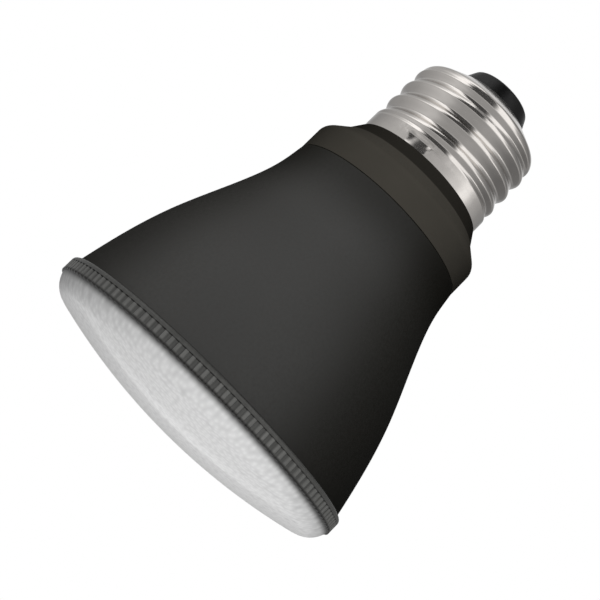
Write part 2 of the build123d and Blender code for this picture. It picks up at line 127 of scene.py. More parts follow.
class ShellSizes(PropertyGroup):
    """Rolled screw shell."""

    skirt_r: length("Skirt radius", "Outside radius of the plain skirt", 13.1)
    skirt_height: length("Skirt height", "Height of the plain skirt", 1.3)
    skirt_taper: length("Skirt taper", "Height of the taper from the skirt to the thread", 0.5)
    thread_major_r: length("Thread radius", "Radius at the crest of the thread", 13.2)
    thread_depth: length("Thread depth", "From crest to root", 0.75)
    thread_pitch: length("Thread pitch", "Rise in one turn", 25.4 / 7)
    start_turns: FloatProperty(
        name="Start",
        description="Turns before the thread's valley starts",
        default=0.34,
    )
    runout_turns: FloatProperty(
        name="Runout",
        description="Turns in which the thread fades",
        default=0.3,
    )
    shoulder_height: length("Shoulder height", "From the thread to the end of the shell", 3.9)
    shoulder_band: length("Shoulder band", "Straight part of the shoulder", 0.9)
    shoulder_round: length("Shoulder round", "Round between the band and the cone", 1.5)
    end_r: length("End radius", "Outside radius at the end of the cone", 8.0)
    wall: length("Wall", "Thickness of the sheet", 0.4)
    crimp_count: IntProperty(name="Crimps", description="Crimps that hold the skirt on the collar", default=3)
    crimp_turn: turn("Crimp turn", "Direction of the first crimp about the axis", -109.0)
    crimp_width: length("Crimp width", "Width of a crimp round the skirt", 4.4)
    crimp_height: length("Crimp height", "Height of a crimp", 2.4)
    crimp_rise: length("Crimp rise", "Height of a crimp's middle above the collar", 1.2)
    crimp_depth: length("Crimp depth", "Depth of a crimp", 0.5)


class FinishColours(PropertyGroup):
    """Colours of the pieces that show."""

    housing: tint("Housing", "Powder coat", "#161511")
    collar: tint("Collar", "Moulded plastic", "#494640")
    lip: tint("Lip", "Darker upper lip of the collar", "#2C2A26")
    shell: tint("Screw shell", "Nickel plate", "#BCB8B4")
    insulator: tint("Insulator", "Moulded black plastic", "#171717")
    contact: tint("Contact", "Tinned brass", "#B4AFA6")
    lens_front: tint("Lens front", "Pebbled front, white from the optics behind it", "#DEDEDE")
    lens_rim: tint("Lens rim", "Clear ribs, dark from the housing behind them", "#666664")
    lens_band: tint("Lens band", "Clear band that lies close to the housing", "#4C4C4A")
    # Painted shade: the dark stripes at both ends of the ribs.
    lens_rib_end_shade: tint("Lens groove", "Clear ends of the ribs, darkest of all", "#2A2A29")


class StageSettings(PropertyGroup):
    """Camera and light."""

    aim: FloatVectorProperty(
        name="Aim",
        description="Point at the middle of the picture",
        default=(0.376 * MM, 0, -52.46 * MM),
        unit="LENGTH",
    )
    distance: length("Distance", "From the aim to the camera", 254.4)
    elevation: turn("Elevation", "Height of the camera above the horizon", -11.3)
    roll: turn("Roll", "Turn of the camera about its line of sight", 45.07)
    focal_mm: FloatProperty(
        name="Focal length",
        description=f"On a {SENSOR_MM} mm sensor",
        default=90.1,
        unit="CAMERA",
    )
    floor_z: length("Floor", "Level of the floor", -400.0)
    floor_half: length("Floor reach", "From the middle of the floor to its sides", 2500.0)
    ambient: FloatProperty(name="Ambient", description="Strength of the room's light", default=0.05)
    floor_tint: tint("Floor colour", "Matt studio floor", "#EDEDED")
    floor_white: FloatProperty(
        name="Floor white",
        description="Share of white where the floor is seen",
        default=0.6,
    )


class LampSettings(PropertyGroup):
    """All sizes and colours of the lamp and its stage."""

    housing: PointerProperty(type=HousingSizes)
    lens: PointerProperty(type=LensSizes)
    shell: PointerProperty(type=ShellSizes)
    colours: PointerProperty(type=FinishColours)
    stage: PointerProperty(type=StageSettings)


def add_node(tree, kind, inputs=None, **settings):
    """Adds a node with its settings; an input is a value or a socket to link."""
    node = tree.nodes.new(kind)
    for key, value in settings.items():
        setattr(node, key, value)
    for name, value in (inputs or {}).items():
        if isinstance(value, NodeSocket):
            tree.links.new(value, node.inputs[name])
        else:
            node.inputs[name].default_value = value
    return node


def find_node(tree, kind):
    """First node of a kind."""
    return next(node for node in tree.nodes if node.type == kind)


def place_in(tree):
    """Socket with the object coordinates."""
    return add_node(tree, "ShaderNodeTexCoord").outputs["Object"]


def height_in(tree):
    """Socket with the height in object coordinates."""
    return add_node(tree, "ShaderNodeSeparateXYZ", {"Vector": place_in(tree)}).outputs["Z"]


def map_range(tree, value, source, target=(0.0, 1.0), **settings):
    """Socket with a value mapped from one range to another and held within it."""
    ends = {"From Min": source[0], "From Max": source[1], "To Min": target[0], "To Max": target[1]}
    return add_node(tree, "ShaderNodeMapRange", {"Value": value, **ends}, **settings).outputs["Result"]


def mix_colours(tree, factor, first, second, **settings):
    """Socket with two colours mixed or blended."""
    inputs = {"Factor": factor, MIX_A: first, MIX_B: second}
    return add_node(tree, "ShaderNodeMix", inputs, data_type="RGBA", **settings).outputs[MIX_RESULT]


def new_material(name, **inputs):
    """Material with a Principled surface whose constants are set on its own sockets."""
    material = bpy.data.materials.new(name)
    material.use_nodes = True
    tree = material.node_tree
    tree.nodes.clear()
    surface = add_node(tree, "ShaderNodeBsdfPrincipled")
    for socket, value in inputs.items():
        surface.inputs[socket.replace("_", " ")].default_value = value
    add_node(tree, "ShaderNodeOutputMaterial", {"Surface": surface.outputs["BSDF"]})
    return material, tree, surface


def shade(colour, factor):
    """Colour made lighter or darker."""
    return tuple(min(1.0, c * factor) for c in colour)


def set_stops(ramp, stops):
    """Gives a colour ramp its stops, as (position, colour) in rising order."""
    elements = ramp.color_ramp.elements
    first, *middle, last = stops
    for element, (position, colour) in zip(elements, (first, last)):
        element.position = position
        element.color = (*colour, 1.0)
    for position, colour in middle:
        elements.new(position).color = (*colour, 1.0)


# Range in which most values of a noise texture lie.
NOISE_RANGE = (0.3, 0.7)
# Finer layers of noise in the grain and in the blotches.
GRAIN_DETAIL = 3.0
BLOTCH_DETAIL = 4.0


def grained(name, colour, grain, spread, depth, rough, blotch, **inputs):
    """Material with a fine grain in its relief and gloss and broad blotches in its colour.

    grain and blotch are sizes, spread is the share by which the colour varies, depth is the height of the
    relief and rough its two limits of roughness.
    """
    material, tree, surface = new_material(name, **inputs)
    place = place_in(tree)
    fine = add_node(
        tree, "ShaderNodeTexNoise", {"Vector": place, "Scale": 1 / grain, "Detail": GRAIN_DETAIL}
    )
    broad = add_node(
        tree, "ShaderNodeTexNoise", {"Vector": place, "Scale": 1 / blotch, "Detail": BLOTCH_DETAIL}
    )
    ramp = add_node(tree, "ShaderNodeValToRGB", {"Fac": broad.outputs["Fac"]})
    low, high = NOISE_RANGE
    set_stops(ramp, [(low, shade(colour, 1 - spread)), (high, shade(colour, 1 + spread))])
    gloss = map_range(tree, fine.outputs["Fac"], NOISE_RANGE, rough)
    relief = add_node(
        tree, "ShaderNodeBump", {"Strength": 1.0, "Distance": depth, "Height": fine.outputs["Fac"]}
    )
    tree.links.new(ramp.outputs["Color"], surface.inputs["Base Color"])
    tree.links.new(gloss, surface.inputs["Roughness"])
    tree.links.new(relief.outputs["Normal"], surface.inputs["Normal"])
    return material


# Half the height over which one colour turns into another.
COLOUR_BLEND = 0.1 * MM


def recolour_above(material, height, colour):
    """Gives a material another colour above a height."""
    tree = material.node_tree
    base = find_node(tree, "BSDF_PRINCIPLED").inputs["Base Color"]
    below = base.links[0].from_socket
    share = map_range(tree, height_in(tree), (height - COLOUR_BLEND, height + COLOUR_BLEND))
    tree.links.new(mix_colours(tree, share, below, (*colour, 1.0)), base)


def paint_shade_above(material, low, high, level):
    """Lowers a material's specular level from its own between two heights, as painted shade."""
    tree = material.node_tree
    specular = find_node(tree, "BSDF_PRINCIPLED").inputs["Specular IOR Level"]
    levels = (specular.default_value, level)
    fall = map_range(tree, height_in(tree), (low, high), levels, interpolation_type="SMOOTHSTEP")
    tree.links.new(fall, specular)


def dress(node_name, material):
    """Gives a CAD node that stays as it is a better material."""
    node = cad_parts[node_name]
    for index in range(len(node.material_slots)):
        node.material_slots[index].material = material


# Edges with a wider turn than this are drawn sharp.
SHARP_ANGLE = radians(32)
ROUND_STEPS = 8
# Points nearer than this are one.
MERGE_DISTANCE = 0.001 * MM


def finish_piece(mesh, name, node_name, material):
    """Makes the bmesh a piece that rides on the lamp and stands for a CAD node."""
    data = bpy.data.meshes.new(name)
    mesh.to_mesh(data)
    mesh.free()
    data.shade_smooth()
    data.set_sharp_from_angle(angle=SHARP_ANGLE)
    data.materials.append(material)
    piece = bpy.data.objects.new(name, data)
    bpy.context.scene.collection.objects.link(piece)
    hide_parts(node_name)
    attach(piece, "root")
    return piece


def wire(points, rounds, closed):
    """Bmesh wire through (radius, height) points, with rounds as {index: radius}."""
    mesh = bmesh.new()
    verts = [mesh.verts.new((r, 0, z)) for r, z in points]
    pairs = list(zip(verts, verts[1:]))
    if closed:
        pairs.append((verts[-1], verts[0]))
    for pair in pairs:
        mesh.edges.new(pair)
    corners = [(verts[index], radius) for index, radius in rounds.items()]
    for corner, radius in corners:
        before, after = [edge.other_vert(corner).co - corner.co for edge in corner.link_edges]
        setback = radius / tan(before.angle(after) / 2)
        bmesh.ops.bevel(
            mesh,
            geom=[corner],
            offset=setback,
            offset_type="OFFSET",
            affect="VERTICES",
            segments=ROUND_STEPS,
            profile=0.5,
            material=-1,
        )
    return mesh


def spin(mesh, angle, steps, **options):
    """Spins all of a bmesh about the lamp's axis."""
    bmesh.ops.spin(
        mesh,
        geom=mesh.verts[:] + mesh.edges[:] + mesh.faces[:],
        cent=(0, 0, 0),
        axis=(0, 0, 1),
        angle=angle,
        steps=steps,
        **options,
    )


def close_skin(mesh):
    """Joins doubled points and turns the faces outwards."""
    bmesh.ops.remove_doubles(mesh, verts=mesh.verts[:], dist=MERGE_DISTANCE)
    bmesh.ops.recalc_face_normals(mesh, faces=mesh.faces[:])


BELL_STEPS = 12
HOUSING_STEPS = 192
# Slopes of the bell's wall at its stations: change of radius with height.
MOUTH_SLOPE = -0.19
BELLY_SLOPE = -0.344
WAIST_SLOPE = -0.388
BEND_SLOPE = -0.216
NECK_SLOPE = -0.14
# Painted shade: the coat's sheen falls towards the neck, darkening the housing under the collar.
NECK_SHADE_SPECULAR = 0.22


def bell(stations, inset):
    """Points of the bell from mouth to neck, as cubic runs between stations (radius, height, slope)."""
    points = []
    for (low_r, low_z, low_slope), (high_r, high_z, high_slope) in zip(stations, stations[1:]):
        third = (high_z - low_z) / 3
        run = interpolate_bezier(
            (low_r - inset, low_z),
            (low_r - inset + low_slope * third, low_z + third),
            (high_r - inset - high_slope * third, high_z - third),
            (high_r - inset, high_z),
            BELL_STEPS,
        )
        points += [tuple(point) for point in run[: BELL_STEPS - 1]]
    last_r, last_z, _ = stations[-1]
    points.append((last_r - inset, last_z))
    return points


class LAMP_OT_housing(Operator):
    """Bell-shaped housing with its inner ledge"""

    bl_idname = "lamp.housing"
    bl_label = "Housing"

    def execute(self, context):
        size = context.scene.lamp.housing
        mouth_z, neck_z = HOUSING_LOW.z, HOUSING_HIGH.z
        belly_z = mouth_z + size.belly_rise
        ledge_z = belly_z - size.ledge_height
        stations = [
            (size.mouth_r, mouth_z, MOUTH_SLOPE),
            (size.belly_r, belly_z, BELLY_SLOPE),
            (size.waist_r, neck_z - size.waist_drop, WAIST_SLOPE),
            (size.bend_r, neck_z - size.bend_drop, BEND_SLOPE),
            (size.neck_r, neck_z, NECK_SLOPE),
        ]
        outer = bell(stations, 0)
        inner = bell(stations, size.wall)[::-1]
        ledge = [(size.ledge_r, belly_z), (size.ledge_r, ledge_z)]
        above = [point for point in inner if point[1] > belly_z + size.mouth_round]
        below = [point for point in inner if point[1] < ledge_z - size.mouth_round]
        ledge_root = [(size.belly_r - size.wall, belly_z)]
        ledge_foot = [(size.belly_r - size.wall - BELLY_SLOPE * size.ledge_height, ledge_z)]
        outline = outer + above + ledge_root + ledge + ledge_foot + below
        mesh = wire(outline, {0: size.mouth_round, len(outer) - 1: size.seam_round}, closed=True)
        spin(mesh, 2 * pi, HOUSING_STEPS, use_merge=True)
        close_skin(mesh)
        coat = powder_coat(context.scene.lamp.colours.housing)
        # Painted shade under the collar: the sheen fades towards the neck.
        paint_shade_above(coat, neck_z - size.waist_drop, neck_z, NECK_SHADE_SPECULAR)
        finish_piece(mesh, "housing_bell", "housing", coat)
        return {"FINISHED"}


def powder_coat(colour):
    """Black polyester powder coat on cast metal: satin, with a fine orange peel that softens highlights."""
    return grained(
        "black_powder_coat",
        colour,
        grain=0.5 * MM,
        spread=0.04,
        depth=0.006 * MM,
        rough=(0.55, 0.65),
        blotch=9 * MM,
    )


LENS_STEPS_PER_RIB = 6
CREST_STEPS = 1
DOME_STEPS = 26
# The sphere ends this share of the edge round inside the flange, just before the round starts.
EDGE_SHARE = 0.9
# Tolerance for points at the ribs' ends.
RIB_SLACK = 0.01 * MM
# Height below the corner of the dome where the front first dims, and the brightness left at its white end.
FRONT_MARGIN = 0.6 * MM
FADED_FRONT = 0.88
# Painted shade: brightness of the valleys between the ribs against their crests.
VALLEY_SHADE = 0.55
# Pebbles of the lens: their size, and the depth and strength of their relief.
PEBBLE = 0.95 * MM
PEBBLE_DEPTH = 0.1 * MM
PEBBLE_RELIEF = 0.6
# Cell distances at a pebble's middle and edge, and the brightness there: a painted highlight in the middle
# and painted shade at the edge.
PEBBLE_REACH = (0.1, 0.75)
PEBBLE_SHADES = (1.06, 0.82)
# Specular levels of the front and of the rim.
LENS_GLOSS = (0.5, 0.12)


def dome_drop(dome_r, radius):
    """Height by which a sphere falls back at a radius."""
    return dome_r - sqrt(dome_r**2 - radius**2)


class LAMP_OT_lens(Operator):
    """Domed lens with its ribbed flange"""

    bl_idname = "lamp.lens"
    bl_label = "Lens"

    def execute(self, context):
        size = context.scene.lamp.lens
        mouth_z, apex_z = HOUSING_LOW.z, LENS_LOW.z
        edge_z = mouth_z - size.flange_height
        lip_bore_r = size.lip_r - size.lip_wall
        dome_end_r = size.flange_r - EDGE_SHARE * size.edge_round
        rim_slope = dome_end_r / sqrt(size.dome_r**2 - dome_end_r**2)
        dome_end_z = apex_z + dome_drop(size.dome_r, dome_end_r)
        corner_z = dome_end_z + rim_slope * (size.flange_r - dome_end_r)
        front = []
        for step in range(DOME_STEPS + 1):
            radius = dome_end_r * step / DOME_STEPS
            front.append((radius, apex_z + dome_drop(size.dome_r, radius)))
        top_z = mouth_z - size.rib_drop
        bottom_z = top_z - size.rib_length
        crest_r = size.flange_r + size.rib_height
        skin = [(size.flange_r, corner_z), (size.flange_r, top_z - size.rib_ramp)]
        band = [(crest_r, top_z), (crest_r, mouth_z)]
        lip_top_z = mouth_z + size.lip_height
        lip = [(size.lip_r, mouth_z), (size.lip_r, lip_top_z), (lip_bore_r, lip_top_z)]
        back = []
        for step in range(DOME_STEPS + 1):
            radius = lip_bore_r * (1 - step / DOME_STEPS)
            back.append((radius, apex_z + size.wall + dome_drop(size.dome_r, radius)))
        rounds = {len(front): size.edge_round, len(front + skin) + 1: size.flange_round}
        mesh = wire(front + skin + band + lip + back, rounds, closed=False)
        for level in (bottom_z + size.rib_ramp, bottom_z):
            bmesh.ops.bisect_plane(
                mesh, geom=mesh.verts[:] + mesh.edges[:], plane_co=(0, 0, level), plane_no=(0, 0, 1)
            )
        pitch = 2 * pi / size.rib_count
        spin(mesh, pitch, LENS_STEPS_PER_RIB)
        self.raise_rib(mesh, size, pitch, top_z - size.rib_ramp, bottom_z + size.rib_ramp)
        spin(mesh, 2 * pi - pitch, size.rib_count - 1, use_duplicate=True)
        close_skin(mesh)
        finish_piece(mesh, "lens_dome", "lens", self.material(context.scene.lamp, mouth_z, edge_z))
        return {"FINISHED"}

    @staticmethod
    def raise_rib(mesh, size, pitch, high_z, low_z):
        """Moves the skin of one pitch out to the ribs' crests, at both ends of the pitch."""
        crest_r = size.flange_r + size.rib_height
        for vert in mesh.verts:
            radius = vert.co.xy.length
            on_skin = radius > size.flange_r - size.rib_height
            step = round(atan2(vert.co.y, vert.co.x) / pitch * LENS_STEPS_PER_RIB)
            on_crest = min(step, LENS_STEPS_PER_RIB - step) <= CREST_STEPS
            if on_skin and on_crest and low_z - RIB_SLACK < vert.co.z < high_z + RIB_SLACK:
                vert.co.xy *= crest_r / radius

    @staticmethod
    def material(lamp, mouth_z, edge_z):
        """Clear polycarbonate, moulded with fine pebbles behind a smooth face.

        The front looks white from the optics behind it and the rim dark from the housing; the valleys between
        the ribs and the ribs' ends carry painted shade. The pebbles give a low sparkle, from their relief and
        a painted highlight and shade on each, and the smooth face a clear reflection over them.
        """
        size, colours = lamp.lens, lamp.colours
        material, tree, surface = new_material(
            "pebbled_polycarbonate", Roughness=0.42, IOR=1.58, Coat_Weight=0.2, Coat_Roughness=0.06
        )
        place, height = place_in(tree), height_in(tree)
        cells = add_node(
            tree,
            "ShaderNodeTexVoronoi",
            {"Vector": place, "Scale": 1 / PEBBLE, "Randomness": 0.7},
            voronoi_dimensions="2D",
            feature="SMOOTH_F1",
        ).outputs["Distance"]
        base_z = edge_z - FRONT_MARGIN
        span = mouth_z - base_z
        rib_top = size.flange_height - size.rib_drop
        # The rib-end colour at the ribs' lower and upper ends is painted shade.
        levels = [
            (-FRONT_MARGIN, colours.lens_front),
            (size.white_end, shade(colours.lens_front, FADED_FRONT)),
            (size.rim_start, colours.lens_rib_end_shade),
            (size.rib_foot, colours.lens_rim),
            (rib_top - 2 * size.rib_ramp, colours.lens_rim),
            (rib_top - size.rib_ramp, colours.lens_rib_end_shade),
            (rib_top, colours.lens_band),
        ]
        zones = add_node(
            tree, "ShaderNodeValToRGB", {"Fac": map_range(tree, height, (base_z, mouth_z))}
        )
        zones.color_ramp.interpolation = "EASE"
        set_stops(zones, [((level + FRONT_MARGIN) / span, colour) for level, colour in levels])
        flat = add_node(tree, "ShaderNodeVectorMath", {0: place, 1: (1, 1, 0)}, operation="MULTIPLY")
        radius = add_node(tree, "ShaderNodeVectorMath", {0: flat.outputs["Vector"]}, operation="LENGTH")
        crest_r = size.flange_r + size.rib_height
        # Painted shade: darker towards the flange between the ribs and on the round where the band meets the
        # housing.
        crest = map_range(tree, radius.outputs["Value"], (size.flange_r, crest_r), (VALLEY_SHADE, 1.0))
        on_rim = map_range(tree, height, (edge_z + size.rim_start, edge_z + size.rib_foot))
        ribbed = mix_colours(tree, on_rim, zones.outputs["Color"], crest, blend_type="MULTIPLY")
        # Painted highlight and shade: each pebble lighter in its middle and darker at its edge.
        pebbles = map_range(tree, cells, PEBBLE_REACH, PEBBLE_SHADES)
        tinted = mix_colours(tree, 1.0, ribbed, pebbles, blend_type="MULTIPLY")
        rim_rise = (edge_z + size.white_end, edge_z + size.rim_start)
        gloss = map_range(tree, height, rim_rise, LENS_GLOSS)
        relief = add_node(
            tree,
            "ShaderNodeBump",
            {"Strength": PEBBLE_RELIEF, "Distance": PEBBLE_DEPTH, "Height": cells},
            invert=True,
        )
        tree.links.new(gloss, surface.inputs["Specular IOR Level"])
        tree.links.new(tinted, surface.inputs["Base Color"])
        tree.links.new(relief.outputs["Normal"], surface.inputs["Normal"])
        return material


SHELL_SEGMENTS = 192
THREAD_RINGS_PER_TURN = 28
SKIRT_RINGS = 10
# Power that gives a crimp its flat floor and steep sides.
CRIMP_POWER = 6


class LAMP_OT_screw_shell(Operator):
    """Screw shell with its rolled thread and crimps"""

    bl_idname = "lamp.screw_shell"
    bl_label = "Screw shell"

    def execute(self, context):
        size = context.scene.lamp.shell
        mesh = bmesh.new()
        rings = self.rings(size)
        first_r, first_centre = rings[0]
        bmesh.ops.create_circle(
            mesh,
            cap_ends=False,
            radius=first_r,
            segments=SHELL_SEGMENTS,
            matrix=Matrix.Translation(first_centre),
        )
        edges = mesh.edges[:]
        for (radius, centre), (next_r, next_centre) in zip(rings, rings[1:]):
            made = bmesh.ops.extrude_edge_only(mesh, edges=edges)["geom"]
            verts = [item for item in made if isinstance(item, bmesh.types.BMVert)]
            edges = [item for item in made if isinstance(item, bmesh.types.BMEdge)]
            grow = next_r / radius
            bmesh.ops.scale(mesh, vec=(grow, grow, 1), space=Matrix.Translation(-centre), verts=verts)
            bmesh.ops.translate(mesh, vec=next_centre - centre, verts=verts)
        self.press_crimps(mesh, size)
        bmesh.ops.recalc_face_normals(mesh, faces=mesh.faces[:])
        bmesh.ops.solidify(mesh, geom=mesh.faces[:], thickness=size.wall)
        finish_piece(mesh, "threaded_shell", "screw_shell", nickel(context.scene.lamp.colours.shell))
        return {"FINISHED"}

    @staticmethod
    def rings(size):
        """Rings of the shell from skirt to end as (radius, centre); the thread's centres circle the axis."""
        foot_z, end_z = SHELL_LOW.z, SHELL_HIGH.z
        thread_z = foot_z + size.skirt_height + size.skirt_taper
        shoulder_z = end_z - size.shoulder_height
        turns = (shoulder_z - thread_z) / size.thread_pitch
        half_depth = size.thread_depth / 2
        mean_r = size.thread_major_r - half_depth
        rings = []
        for step in range(SKIRT_RINGS + 1):
            share = step / SKIRT_RINGS
            radius = size.skirt_r + (size.thread_major_r - size.skirt_r) * share
            rings.append((radius, Vector((0, 0, foot_z + size.skirt_height * share))))
        count = round(turns * THREAD_RINGS_PER_TURN)
        for step in range(count + 1):
            turned = turns * step / count
            start = min(1, max(0, (turned - size.start_turns) / size.runout_turns))
            end = min(1, (turns - turned) / size.runout_turns)
            aside = Vector((half_depth * min(start, end), 0, 0))
            aside.rotate(Quaternion((0, 0, 1), 2 * pi * turned))
            centre = aside + Vector((0, 0, thread_z + turned * size.thread_pitch))
            rings.append((mean_r + half_depth * (1 - start), centre))
        band_z = shoulder_z + size.shoulder_band
        profile = [(mean_r, shoulder_z), (mean_r, band_z), (size.end_r, end_z)]
        shoulder = wire(profile, {1: size.shoulder_round}, closed=False)
        heights = sorted((vert.co.z, vert.co.x) for vert in shoulder.verts)
        shoulder.free()
        rings += [(radius, Vector((0, 0, height))) for height, radius in heights[1:]]
        return rings

    @staticmethod
    def press_crimps(mesh, size):
        """Presses in the skirt where it is crimped on the collar, deepest at a crimp's upper end."""
        middle_z = SHELL_LOW.z + size.crimp_rise
        for index in range(size.crimp_count):
            angle = size.crimp_turn + index * 2 * pi / size.crimp_count
            facing = Vector((cos(angle), sin(angle)))
            across = Vector((-facing.y, facing.x))
            for vert in mesh.verts:
                if vert.co.xy.dot(facing) < 0:
                    continue
                aside = vert.co.xy.dot(across) / (size.crimp_width / 2)
                up = (vert.co.z - middle_z) / (size.crimp_height / 2)
                press = exp(-(aside**CRIMP_POWER) - up**CRIMP_POWER) * (1 + up) / 2
                vert.co.xy -= facing * size.crimp_depth * press


def nickel(colour):
    """Bright nickel plate on rolled sheet: a mirror blurred by faint rolling marks and handling."""
    return grained(
        "nickel_plate",
        colour,
        grain=0.8 * MM,
        spread=0.06,
        depth=0.002 * MM,
        rough=(0.1, 0.18),
        blotch=5 * MM,
        Metallic=1.0,
    )


# From the foot of the screw shell down to the edge of the collar's lip.
LIP_DROP = 2.65 * MM


class LAMP_OT_base(Operator):
    """Collar, insulator and centre contact, whose CAD shapes stay"""

    bl_idname = "lamp.base"
    bl_label = "Collar and base end"

    def execute(self, context):
        colours = context.scene.lamp.colours
        # Moulded black PBT: even and dull, with a faint spark-eroded grain and a darker upper lip.
        moulded = grained(
            "black_moulded_pbt",
            colours.collar,
            grain=0.35 * MM,
            spread=0.04,
            depth=0.008 * MM,
            rough=(0.58, 0.7),
            blotch=7 * MM,
            Specular_IOR_Level=0.06,
        )
        recolour_above(moulded, SHELL_LOW.z - LIP_DROP, colours.lip)
        dress("collar", moulded)
        # Black glass-like thermoset: darker and glossier than the collar.
        dress(
            "base_insulator",
            grained(
                "black_thermoset",
                colours.insulator,
                grain=0.9 * MM,
                spread=0.08,
                depth=0.004 * MM,
                rough=(0.26, 0.38),
                blotch=4 * MM,
                Specular_IOR_Level=0.12,
            ),
        )
        # Tinned brass button: soft metal, dull, with fine scuffs.
        dress(
            "centre_contact",
            grained(
                "tinned_brass",
                colours.contact,
                grain=0.25 * MM,
                spread=0.1,
                depth=0.004 * MM,
                rough=(0.28, 0.42),
                blotch=1.5 * MM,
                Metallic=1.0,
            ),
        )
        return {"FINISHED"}


# Finishes of the parts inside: node, material, colour, metallic, limits of roughness, grain in millimetres.
LIGHT_ENGINE = [
    # Rolled aluminium sheet: pale, with a soft directionless sheen.
    ("heat_spreader", "rolled_aluminium", "#C6C8CA", 1.0, (0.32, 0.44), 0.6),
    # Zinc-plated steel: slightly blue and brighter than the sheet.
    ("spreader_screws", "zinc_plated_steel", "#B7BBC0", 1.0, (0.25, 0.36), 0.3),
    ("board_screws", "zinc_plated_steel", "#B7BBC0", 1.0, (0.25, 0.36), 0.3),
    # White solder mask on an aluminium-cored board: even and satin.
    ("led_board", "white_solder_mask", "#ECECE8", 0.0, (0.35, 0.45), 0.5),
    # Phosphor in clear silicone: deep yellow and smooth.
    ("led_packages", "phosphor_silicone", "#E6C84C", 0.0, (0.2, 0.3), 0.2),
    # White moulded polycarbonate: bright and dull, to throw the light forward.
    ("reflector", "white_polycarbonate", "#F0F0EE", 0.0, (0.5, 0.6), 0.4),
    # Tinned copper wire: pale and soft.
    ("led_pins", "tinned_copper", "#C3BFB8", 1.0, (0.25, 0.38), 0.15),
]
DRIVER = [
    # Green solder mask over glass cloth, whose weave shows as a fine grain.
    ("driver_board", "green_solder_mask", "#2C6B3F", 0.0, (0.32, 0.42), 0.5),
    # Yellow polyester tape over the winding and ferrite.
    ("transformer", "polyester_tape", "#D9B23C", 0.0, (0.3, 0.42), 0.6),
    # Shrink sleeve over an aluminium can.
    ("bulk_capacitor", "black_shrink_sleeve", "#2A2C33", 0.0, (0.3, 0.4), 0.7),
    # Potted box of red-brown epoxy.
    ("film_capacitor", "potted_epoxy_box", "#9C3A2A", 0.0, (0.35, 0.48), 0.4),
    # Sleeve over a drum winding.
    ("choke", "sleeve_over_winding", "#26262A", 0.0, (0.38, 0.5), 0.4),
    # Dipped blue epoxy, with a slightly wavy skin.
    ("varistor", "dipped_blue_epoxy", "#2F5C9A", 0.0, (0.28, 0.4), 0.8),
    # Moulded black epoxy of chip bodies: dull and even.
    ("bridge_rectifier", "moulded_black_epoxy", "#232323", 0.0, (0.5, 0.6), 0.2),
    ("control_chip", "moulded_black_epoxy", "#232323", 0.0, (0.5, 0.6), 0.2),
    # Pale cement coat of a fusible resistor.
    ("fuse_resistor", "cement_coat", "#8FA39B", 0.0, (0.6, 0.72), 0.3),
    # Bare tinned lead wire: pale and soft.
    ("live_lead", "tinned_wire", "#C3BFB8", 1.0, (0.25, 0.38), 0.15),
    ("neutral_lead", "tinned_wire", "#C3BFB8", 1.0, (0.25, 0.38), 0.15),
]


# What the finishes inside share: spread of colour, depth of relief and size of a blotch against the grain.
INSIDE_SPREAD = 0.07
INSIDE_DEPTH = 0.006 * MM
INSIDE_BLOTCH = 6


def dress_inside(finishes):
    """Gives each inner node its finish; nodes of one material share it."""
    made = {}
    for node_name, name, code, metallic, rough, grain in finishes:
        if name not in made:
            made[name] = grained(
                name,
                srgb(code),
                grain=grain * MM,
                spread=INSIDE_SPREAD,
                depth=INSIDE_DEPTH,
                rough=rough,
                blotch=INSIDE_BLOTCH * grain * MM,
                Metallic=metallic,
            )
        dress(node_name, made[name])


class LAMP_OT_light_engine(Operator):
    """Finishes of the spreader, light board, packages, screws, pins and reflector"""

    bl_idname = "lamp.light_engine"
    bl_label = "Light engine"

    def execute(self, context):
        dress_inside(LIGHT_ENGINE)
        return {"FINISHED"}


class LAMP_OT_driver(Operator):
    """Finishes of the driver board, its components and leads"""

    bl_idname = "lamp.driver"
    bl_label = "Driver"

    def execute(self, context):
        dress_inside(DRIVER)
        return {"FINISHED"}


# Bright metal and black gloss, which show the screens and not the lamps.
METAL = ("threaded_shell", "base_insulator", "centre_contact")
LENS = ("lens_dome",)
HOUSING = ("housing_bell",)
BODY = (*HOUSING, "collar")
# Lamps of the studio: name, azimuth and elevation seen from the aim, distance, width and height in metres,
# power, whether reflections see it, and the pieces it is kept to or kept off.
LAMPS = [
    ("key", -8, 24, 0.75, 0.5, 0.5, 4.0, False, METAL + HOUSING, "EXCLUDE"),
    ("softbox", -22, 42, 0.6, 2.2, 0.5, 10.4, True, HOUSING, "INCLUDE"),
    ("lens_fill", 60, -62, 0.36, 0.25, 0.25, 1.04, False, LENS, "INCLUDE"),
    ("back", 180, -15, 0.6, 0.5, 0.5, 5.0, True, BODY, "INCLUDE"),
]
# Glow of the screens round the lamp, as stops of (azimuth, brightness). The lower screens are an even grey.
GREY = [
    (-150, 0.4), (-120, 0.52), (-100, 0.66), (-80, 0.8), (-64, 0.95), (-52, 0.88), (-40, 0.62), (-28, 0.52),
    (0, 0.5), (24, 0.6), (40, 0.58), (52, 0.5), (64, 0.42), (80, 0.3), (100, 0.24), (150, 0.25),
]
# Two bright panels with a dark gap between them, for the thread's upper flanks.
PANELS = [
    (-150, 0.5), (-110, 0.7), (-92, 0.95), (-80, 1.5), (-72, 1.9), (-54, 1.9), (-48, 0.6), (-43, 0.1),
    (0, 0.1), (7, 0.5), (14, 1.7), (54, 1.7), (64, 0.8), (76, 0.5), (95, 0.36), (130, 0.24),
]
WIDE_PANELS = [
    (-150, 0.6), (-120, 0.8), (-96, 1.4), (-86, 1.9), (-66, 1.9), (-59, 0.6), (-54, 0.1),
    (2, 0.1), (9, 0.5), (17, 1.7), (66, 1.7), (78, 0.8), (92, 0.5), (110, 0.36), (140, 0.24),
]
